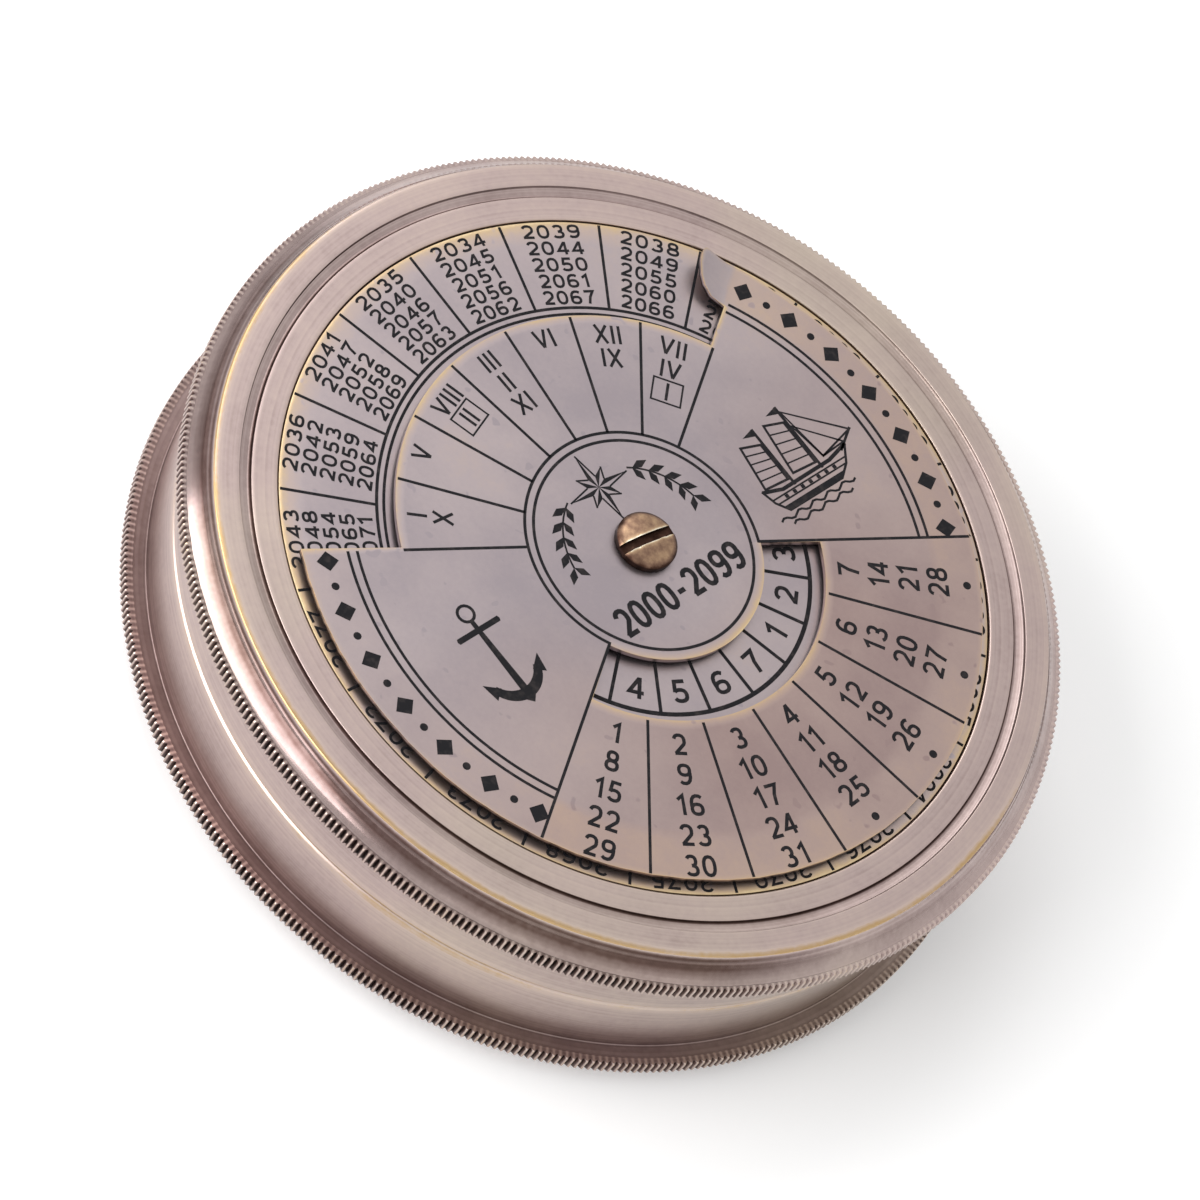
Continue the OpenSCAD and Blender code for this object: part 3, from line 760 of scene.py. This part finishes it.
def rubbing(r, angle, curl):
    """How far fingers have worn and warmed a place: most on the dates and along the bordered edge."""
    on_dates = limited(1 - abs((angle - 70 + 180) % 360 - 180) / 110) * limited((r - 8) / 8)
    on_border = limited((r - border_r) / 0.9) * (curl == 0) * (1.0 if angle < 240 else 0.35)
    on_rim = limited(1 - (disc_r - r) / rim_wear_w)
    return 0.25 * on_border + 0.35 * on_rim, min(1.0, 1.4 * on_dates + 0.5 * on_border)


def filed(r, angle):
    """The share of its radius that a place keeps where the rim is filed by hand, most beside the tab."""
    uneven = 0.05 * (1 + sin(radians(23 * angle)) * sin(radians(37 * angle + 50)))
    beside_tab = 0.3 * limited((angle - 121) / 6) * limited((177 - angle) / 5)
    return 1 - (uneven + beside_tab) * limited(1 - (disc_r - r) / wear_w) / max(r, 1.0)


def corner(x, y, curl=0.0):
    """A pair of points on the disc's top and underside, made once for each place."""
    key = (round(x, 4), round(y, 4))
    if key not in corners:
        r = hypot(x, y)
        angle = degrees(atan2(y, x)) % 360
        place = Matrix.Rotation(radians(disc_turn), 2) @ Vector((x, y)) * filed(r, angle)
        rise = tab_curl - sqrt(tab_curl ** 2 - curl ** 2)
        under = tab_curl + disc_t - sqrt((tab_curl + disc_t) ** 2 - curl ** 2)
        corners[key] = (disc.verts.new((*place, disc_top + rise)), disc.verts.new((*place, disc_z + under)))
        for vert in corners[key]:
            vert[layer], vert[handled_layer] = rubbing(r, angle, curl)
    return corners[key]


def facet(points):
    """Adds one small face to the disc's top and one below it."""
    pairs = list(dict.fromkeys(points))
    disc.faces.new([pair[0] for pair in pairs])
    disc.faces.new([pair[1] for pair in reversed(pairs)])


for r, r_next in zip(radii, radii[1:]):
    for a, a_next in zip(angles, angles[1:] + [360]):
        over_days = hub_r <= r < window_r and a < sector
        over_years = r >= months_r and tab_edge <= a < tab_edge + sector
        if not (over_days or over_years):
            facet([corner(*polar(r, a)), corner(*polar(r_next, a)), corner(*polar(r_next, a_next)),
                   corner(*polar(r, a_next))])

tab_steps = 8
tab_round = 0.8
tab_radii = [r for r in radii if r >= tab_start]


def tab_point(r, share):
    """A place on the finger tab: a rounded corner past the disc's edge that curls up."""
    reach = tab_len
    if r < tab_corner:
        reach = sqrt(max(0, tab_len ** 2 - (tab_corner - r) ** 2))
    elif r > disc_r - tab_round:
        reach = tab_len - tab_round + sqrt(max(0, tab_round ** 2 - (r - disc_r + tab_round) ** 2))
    past = reach * share
    across = min(r, sqrt(disc_r ** 2 - past ** 2))
    return corner(*(polar(across, tab_edge) + polar(past, tab_edge + 90)), curl=past)


for r, r_next in zip(tab_radii, tab_radii[1:]):
    for step in range(tab_steps):
        here, beyond = step / tab_steps, (step + 1) / tab_steps
        facet([tab_point(r, here), tab_point(r_next, here), tab_point(r_next, beyond), tab_point(r, beyond)])

# The cut edge is worn pale along its top. Round the outer rim its lower half is painted dark: painted shade
# for the shadowed gap under the disc.
worn_pale = 0.9
painted_edge_shade = -1.6
partner = {}
for top, under in corners.values():
    partner[top] = under
    partner[under] = top
open_edges = [edge for edge in disc.edges if edge.is_boundary and edge.verts[0].co.z > disc_z + disc_t / 2
              and edge.verts[0] in partner and partner[edge.verts[0]].co.z < edge.verts[0].co.z]
for edge in open_edges:
    start, end = edge.verts
    disc.faces.new((start, end, partner[end], partner[start]))
    for vert in (start, end):
        vert[layer] = worn_pale
        partner[vert][layer] = painted_edge_shade if vert.co.xy.length > months_r + wear_w else 0.0
piece(disc, "month_disc_stamped", dial_brass, "calendar_disc", "dial_brass", "month_disc", bevel=0.05)

disc_level = disc_top + proud
line_end = 0.12
months_line_in = 10.25
first_month = disc_turn + tab_edge + sector
disc_lines = bmesh.new()
arc_line(disc_lines, 9.5, 0, 360, 0.26, disc_level)
arc_line(disc_lines, months_line_in, disc_turn + sector, disc_turn + 360, 0.26, disc_level)
for column in range(1, 7):
    edge = first_month - column * cell
    ribbon(disc_lines, [polar(months_line_in, edge), polar(months_r - line_end, edge)], line_w, disc_level)
for column in range(1, 7):
    edge = disc_turn + column * cell
    ribbon(disc_lines, [polar(window_r + 0.25, edge), polar(disc_r - line_end, edge)], line_w, disc_level)
for start, first_r, last_r in ((disc_turn + sector, disc_r, months_r), (first_month, months_r, disc_r)):
    for edge, end_r in ((start + 0.6, first_r), (start + 60 - 0.6, last_r)):
        ribbon(disc_lines, [polar(months_line_in, edge), polar(end_r - line_end, edge)], line_w,
               disc_level + stroke_step)
    for r in (border_r - 0.4, border_r + 0.4):
        arc_line(disc_lines, r, start + 0.6, start + 60 - 0.6, line_w, disc_level)
piece(disc_lines, "month_disc_lines", filling_black, "calendar_disc", "dial_brass")

# Months that start on the same day share a column. Those with a star here are for leap years only,
# and a line is drawn round them.
months = (("I", "X"), ("V",), ("VIII", "II*"), ("III", "II", "XI"), ("VI",), ("XII", "IX"),
          ("VII", "IV", "I*"))
month_cap = 1.7
month_row_r = 19.4
month_row_pitch = 2.2
surround_w, surround_h = 1.3, 1.1
month_figures = bmesh.new()
for column, names in enumerate(months):
    middle = first_month - (column + 0.5) * cell
    facing = Matrix.Rotation(radians(middle - 90), 2)
    for row, name in enumerate(names):
        spot = polar(month_row_r - month_row_pitch * row, middle)
        number(month_figures, name.rstrip("*"), spot, middle - 90, month_cap, disc_level, weight=0.15)
        if name.endswith("*"):
            surround = [spot + facing @ Vector((x * surround_w, y * surround_h))
                        for x, y in ((-1, -1), (1, -1), (1, 1), (-1, 1))]
            ribbon(month_figures, surround, 0.16, disc_level, closed=True)
piece(month_figures, "month_disc_months", filling_black, "calendar_disc", "dial_brass")


def dot(bm, centre, r):
    """Adds a round dot to the disc's engraving."""
    inlay(bm, [centre + polar(r, 30 * k) for k in range(12)], disc_level)


date_cap = 1.85
date_row_r = 17.9
date_row_pitch = 2.65
date_figures = bmesh.new()
for column in range(7):
    middle = disc_turn + (column + 0.5) * cell
    for row in range(5):
        date = column + 1 + 7 * row
        spot = polar(date_row_r + date_row_pitch * row, middle)
        if date <= 31:
            number(date_figures, str(date), spot, middle + 90, date_cap, disc_level, weight=0.16)
        else:
            dot(date_figures, spot, 0.36)
piece(date_figures, "month_disc_dates", filling_black, "calendar_disc", "dial_brass")

upright = 164
ornament = bmesh.new()
number(ornament, f"{first_year}-{last_year}", polar(4.6, upright - 180), upright - 90, 2.5, disc_level,
       stretch=0.82, weight=0.17)
wind_rose(ornament, polar(5.9, upright), upright, 3.2, disc_level, waist=0.32, outline=0.15)
spray_r = 7.0
for side in (-1, 1):
    for leaf in range(5):
        stem = upright + side * (33 + leaf * 11.5)
        for lean in (-1, 1):
            tip = polar(spray_r + lean * 0.95, stem + side * 10)
            root = polar(spray_r, stem)
            middle = (tip + root) / 2
            across = (tip - root).orthogonal() * 0.22
            inlay(ornament, [root, middle + across, tip, middle - across], disc_level)
    twig = [polar(spray_r, upright + side * (29 + 4.2 * k)) for k in range(13)]
    ribbon(ornament, twig, 0.16, disc_level + stroke_step)

beads = 13
bead_r = 27.7
for start in (disc_turn + sector, first_month):
    for k in range(beads):
        spot = start + 60 * (k + 0.5) / beads
        if k % 2 == 0:
            lozenge = [polar(bead_r, spot - 1.8), polar(bead_r - 0.95, spot), polar(bead_r, spot + 1.8),
                       polar(bead_r + 0.95, spot)]
            inlay(ornament, lozenge, disc_level)
        else:
            dot(ornament, polar(bead_r, spot), 0.34)


def sketch(centre, points, width=None, step=0, closed=False):
    """Adds a stroke, or without a width a filled shape, to a drawing that stands upright on the disc."""
    facing = Matrix.Rotation(radians(upright - 90), 2)
    places = [Vector(centre) + facing @ Vector(p) for p in points]
    level = disc_level + step * stroke_step
    if width:
        ribbon(ornament, places, width, level, closed)
    else:
        inlay(ornament, places, level)


anchor_centre = (-3.63, -17.5)
arm = [polar(2.75, a) - Vector((0, 1.6)) for a in range(-152, -27, 4)]
arm_in = [polar(2.3, a) - Vector((0, 1.08)) for a in range(-28, -153, -4)]
sketch(anchor_centre, arm + arm_in)
shank = [(-0.2, 3.4), (-0.36, -3.8), (0.36, -3.8), (0.2, 3.4)]
sketch(anchor_centre, shank, step=1)
stock = [(-2.2, 2.15), (2.2, 2.15), (2.3, 2.4), (2.2, 2.65), (-2.2, 2.65), (-2.3, 2.4)]
sketch(anchor_centre, stock, step=2)
for side in (-1, 1):
    fluke = [(side * 3.0, -1.55), (side * 1.75, -2.5), (side * 2.7, -3.2)]
    sketch(anchor_centre, fluke, step=3)
crown = [(-0.75, -4.05), (0, -4.8), (0.75, -4.05)]
sketch(anchor_centre, crown, step=4)
ring = [polar(0.72, a) + Vector((0, 4.05)) for a in range(0, 360, 20)]
sketch(anchor_centre, ring, 0.26, closed=True)

ship_centre = (5.2, 16.6)
hull = [(-4.9, -1.0), (-4.5, -2.4), (-3.7, -3.5), (2.5, -3.5), (3.8, -2.6), (4.95, -1.1)]
sketch(ship_centre, hull, 0.22)
rail = [(-4.9, -1.1), (-3.6, -1.5), (-3.0, -1.7), (2.6, -1.65), (4.95, -1.15)]
sketch(ship_centre, rail, 0.34, step=1)
keel = [(-4.05, -3.0), (-3.7, -3.5), (2.5, -3.5), (3.2, -3.0)]
sketch(ship_centre, keel, step=2)
for left, right, plank in ((-4.55, 4.1, -2.1), (-4.4, 3.7, -2.6)):
    sketch(ship_centre, [(left, plank), (right, plank)], 0.15, step=2)
for port in range(7):
    spot = -3.3 + 0.95 * port
    sketch(ship_centre, [(spot, -2.35), (spot + 0.36, -2.35)], 0.32, step=3)
for mast_x, top in ((-1.7, 3.9), (1.6, 4.5)):
    sketch(ship_centre, [(mast_x, -1.9), (mast_x, top)], 0.26, step=2)
    pennant = [(mast_x, top), (mast_x - 1.3, top - 0.3), (mast_x, top - 0.7)]
    sketch(ship_centre, pennant)
    luff_x, leech_x = mast_x - 0.25, mast_x - 2.75
    sail = [(luff_x, -1.2), (luff_x, top - 1.5), (leech_x + 0.65, top - 0.9), (leech_x, -1.0)]
    sketch(ship_centre, sail, 0.22, closed=True)
    for share in (0.2, 0.4, 0.6, 0.8):
        seam = [(luff_x, -1.2 + (top - 0.3) * share), (leech_x + 0.65 * share, -1.0 + (top + 0.1) * share)]
        sketch(ship_centre, seam, 0.13, step=1)
sketch(ship_centre, [(4.2, -1.5), (6.4, -0.2)], 0.24, step=1)
for foot, head in (((6.25, -0.3), 3.9), ((5.0, -0.95), 2.4)):
    sketch(ship_centre, [foot, (1.75, head), (2.4, -1.1)], 0.19, step=3, closed=True)
for row, shift in enumerate((0.0, 0.9)):
    wave = [(-5.2 + shift + 0.35 * k, -4.0 - 0.65 * row + 0.2 * sin(1.25 * k)) for k in range(26 - 5 * row)]
    sketch(ship_centre, wave, 0.2)
piece(ornament, "month_disc_ornament", filling_black, "calendar_disc", "dial_brass")


# Centre screw: a slotted round-head brass screw, browned by handling, that holds the calendar
# to the lid. The driver has rubbed the slot's lips bright and thrown up small burrs on one side.

# Browned screw brass is a mottled warm brown, almost black in the slot and pale on rubbed edges.
browned_brass, tree, shader, place = blank_material("browned_screw_brass")
brown_size = 0.9 * mm
rubbed = node(tree, "Attribute", attribute_name="finish").outputs["Fac"]
browning = node(tree, "TexNoise", {"Vector": place, "Scale": 1 / brown_size, "Detail": 5.0, "Roughness": 0.6})
mottle = node(tree, "Math", {0: browning, 1: 0.7, 2: -0.35}, operation="MULTIPLY_ADD")
tone = node(tree, "Math", {0: rubbed, 1: mottle}, operation="ADD")
browns = [(0.0, "#1C100B"), (1.0, "#F4EBD8"), (0.25, "#432F27"), (0.45, "#7A6050"), (0.6, "#9E8268"),
          (0.8, "#BDA484")]
tint = node(tree, "ValToRGB", {0: tone}, ramp=browns)
rough = node(tree, "MapRange", {"Value": tone, "To Min": 0.5, "To Max": 0.24})
relief = node(tree, "Bump", {"Height": browning, "Strength": 0.5, "Distance": 0.08 * mm})
feed(tree, shader, {"Base Color": tint, "Roughness": rough, "Normal": relief, "Metallic": 1.0})

screw_low, screw_high = (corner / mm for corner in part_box("centre_screw"))
head_r = screw_high.x
head_top = screw_high.z
head_low = disc_top + 0.05
head_edge_h = 0.3
dome_drop = 0.36
shoulder_w = 0.4
shoulder_drop = 0.2
shade_w = 0.5
shank_r = 1.5
slot_turn = 66
slot_half = 0.4
slot_floor = head_top - 0.62
lip_w = 0.2
burr_h = 0.1
row_steps = 24


def dome(u, v):
    """The height of the head's dome over a place, falling away at its shoulder."""
    r = hypot(u, v)
    at_shoulder = limited((r - head_r + shoulder_w) / shoulder_w)
    return head_top - dome_drop * (r / head_r) ** 2 - shoulder_drop * at_shoulder ** 2


def head_row(v, drop, finish, burr=0.0):
    """Adds one row of points straight over the head, along the slot, from its foot to its foot."""
    # The flank is dark and the dome is painted darker toward its rim over shade_w: painted shade with some
    # grime round the head.
    half = sqrt(max(0.0, head_r ** 2 - v ** 2))
    places = [(-half, head_low, 0.0), (-half, head_low + head_edge_h, 0.12)]
    for i in range(row_steps + 1):
        u = half * sin(pi * (i / row_steps - 0.5))
        edge = limited((hypot(u, v) - head_r + shade_w) / shade_w)
        z = dome(u, v) + burr * sin(11 * u) * sin(4.3 * u + 1) * (1 - edge) - drop
        places.append((u, max(slot_floor, min(head_top, z)), finish * (1 - 0.6 * edge)))
    places += [(half, head_low + head_edge_h, 0.12), (half, head_low, 0.0)]
    row = []
    for u, z, shine in places:
        row.append(point(screw, (*(polar(u, slot_turn) + polar(v, slot_turn + 90)), z), shine))
    return row


screw = bmesh.new()
turn(screw, [(0, head_low + 0.2, 0.4), (shank_r, head_low + 0.2, 0.4), (shank_r, screw_low.z + 0.3, 0.4),
             (shank_r - 0.3, screw_low.z, 0.6), (0, screw_low.z, 0.6)], sides=72)
to_floor = head_top - disc_z
outer_rows = 10
first = degrees(asin((slot_half + 2 * lip_w) / head_r))
rows = []
for side in (-1, 1):
    burr = burr_h if side < 0 else burr_h / 5
    half_rows = [head_row(side * slot_half, to_floor, 0.2), head_row(side * slot_half, 0.14, 0.1, burr),
                 head_row(side * slot_half, 0.0, 1.0, burr), head_row(side * (slot_half + lip_w), 0.0, 0.6)]
    for i in range(outer_rows):
        out = first + (90 - first) * i / (outer_rows - 1)
        half_rows.append(head_row(side * head_r * sin(radians(out)), 0.0, 0.53))
    rows = half_rows[::-1] if side < 0 else rows + half_rows
for here, beyond in zip(rows, rows[1:]):
    for i in range(len(here) - 1):
        screw.faces.new((here[i], beyond[i], beyond[i + 1], here[i + 1]))
screw.faces.new([row[0] for row in rows] + [row[-1] for row in reversed(rows)])
piece(screw, "centre_screw_turned", browned_brass, "lid", "screw_brass", "centre_screw", bevel=0.02)


# Nut and washer: a hexagon brass nut over a stamped steel washer. They clamp the screw, and the
# calendar with it, from inside the lid.
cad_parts["nut_washer"].data.materials[0] = drawn_steel
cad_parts["screw_nut"].data.materials[0] = yellow_brass


# Studio: a plain white sweep of matt board under even light from a big window on the left, with
# a weaker fill on the right. Board and surroundings read white, and the board keeps the shadow.
def in_view(tree):
    """1 for a ray that looks at a surface, straight or by way of metal and glass, and 0 for its light."""
    rays = node(tree, "LightPath").outputs
    seen = node(tree, "Math", {0: rays["Is Camera Ray"], 1: rays["Is Glossy Ray"]}, operation="MAXIMUM")
    return node(tree, "Math", {0: seen, 1: rays["Is Transmission Ray"]}, operation="MAXIMUM")


floor_size = 3.0
board_z = -0.05 * mm
floor_corners = [(x * floor_size, y * floor_size, board_z) for x, y in ((-1, -1), (1, -1), (1, 1), (-1, 1))]
floor_mesh = bpy.data.meshes.new("studio_floor")
floor_mesh.from_pydata(floor_corners, [], [(0, 1, 2, 3)])
floor = bpy.data.objects.new("studio_floor", floor_mesh)
bpy.context.scene.collection.objects.link(floor)
# Matt white board has no gloss. It glows a little where it is looked at, so that it reads white.
matt_board, tree, shader, place = blank_material("matt_white_board")
glow_near, glow_far = 0.22, 0.5
glow_start, glow_end = 0.25, 0.9
away = node(tree, "VectorMath", {0: place}, operation="LENGTH").outputs["Value"]
lift = node(tree, "MapRange", {"Value": away, "From Min": glow_start, "From Max": glow_end,
                               "To Min": glow_near, "To Max": glow_far})
glow = node(tree, "Math", {0: in_view(tree), 1: lift}, operation="MULTIPLY")
feed(tree, shader, {"Base Color": linear("#F2F2F2"), "Roughness": 0.9, "Specular IOR Level": 0.0,
                    "Emission Color": linear("#FFFFFF"), "Emission Strength": glow})
floor_mesh.materials.append(matt_board)

room_light = 0.54
world = bpy.data.worlds.new("studio")
bpy.context.scene.world = world
world.use_nodes = True
tree = world.node_tree
level = node(tree, "MapRange", {"Value": in_view(tree), "To Min": room_light, "To Max": 1.0})
feed(tree, tree.nodes["Background"], {"Color": linear("#FFFFFF"), "Strength": level})

middle = (Vector(cad_bounds[0]) + Vector(cad_bounds[1])) / 2
lights = (("key_light", (-0.42, -0.34, 0.3), (0.72, 0.52), 5.0),
          ("window_light", (-0.38, 0.36, 0.6), (0.45, 0.45), 1.7),
          ("fill_light", (0.5, -0.5, 0.45), (0.7, 0.7), 0.4))
for name, spot, size, power in lights:
    lamp = bpy.data.lights.new(name, "AREA")
    lamp.shape = "RECTANGLE"
    lamp.size, lamp.size_y = size
    lamp.energy = power
    holder = bpy.data.objects.new(name, lamp)
    holder.location = spot
    holder.rotation_euler = (middle - Vector(spot)).to_track_quat("-Z", "Y").to_euler()
    bpy.context.scene.collection.objects.link(holder)

view_elevation = radians(52.25)
view_distance = 499 * mm
view_roll = radians(38.5)
view_width = 97 * mm
dial_centre = Vector((0, 0, plate_top * mm))
eye = dial_centre + view_distance * Vector((0, -cos(view_elevation), sin(view_elevation)))
forward = (middle - eye).normalized()
level_right = forward.cross(Vector((0, 0, 1))).normalized()
level_up = level_right.cross(forward)
right = level_right * cos(view_roll) + level_up * sin(view_roll)
up = level_up * cos(view_roll) - level_right * sin(view_roll)
camera_data = bpy.data.cameras.new("camera")
camera_data.sensor_width = 36
camera_data.lens = camera_data.sensor_width * (middle - eye).length / view_width
camera = bpy.data.objects.new("camera", camera_data)
camera.matrix_world = Matrix.Translation(eye) @ Matrix((right, up, -forward)).transposed().to_4x4()
bpy.context.scene.collection.objects.link(camera)
bpy.context.scene.camera = camera
bpy.context.scene.view_settings.view_transform = "Standard"
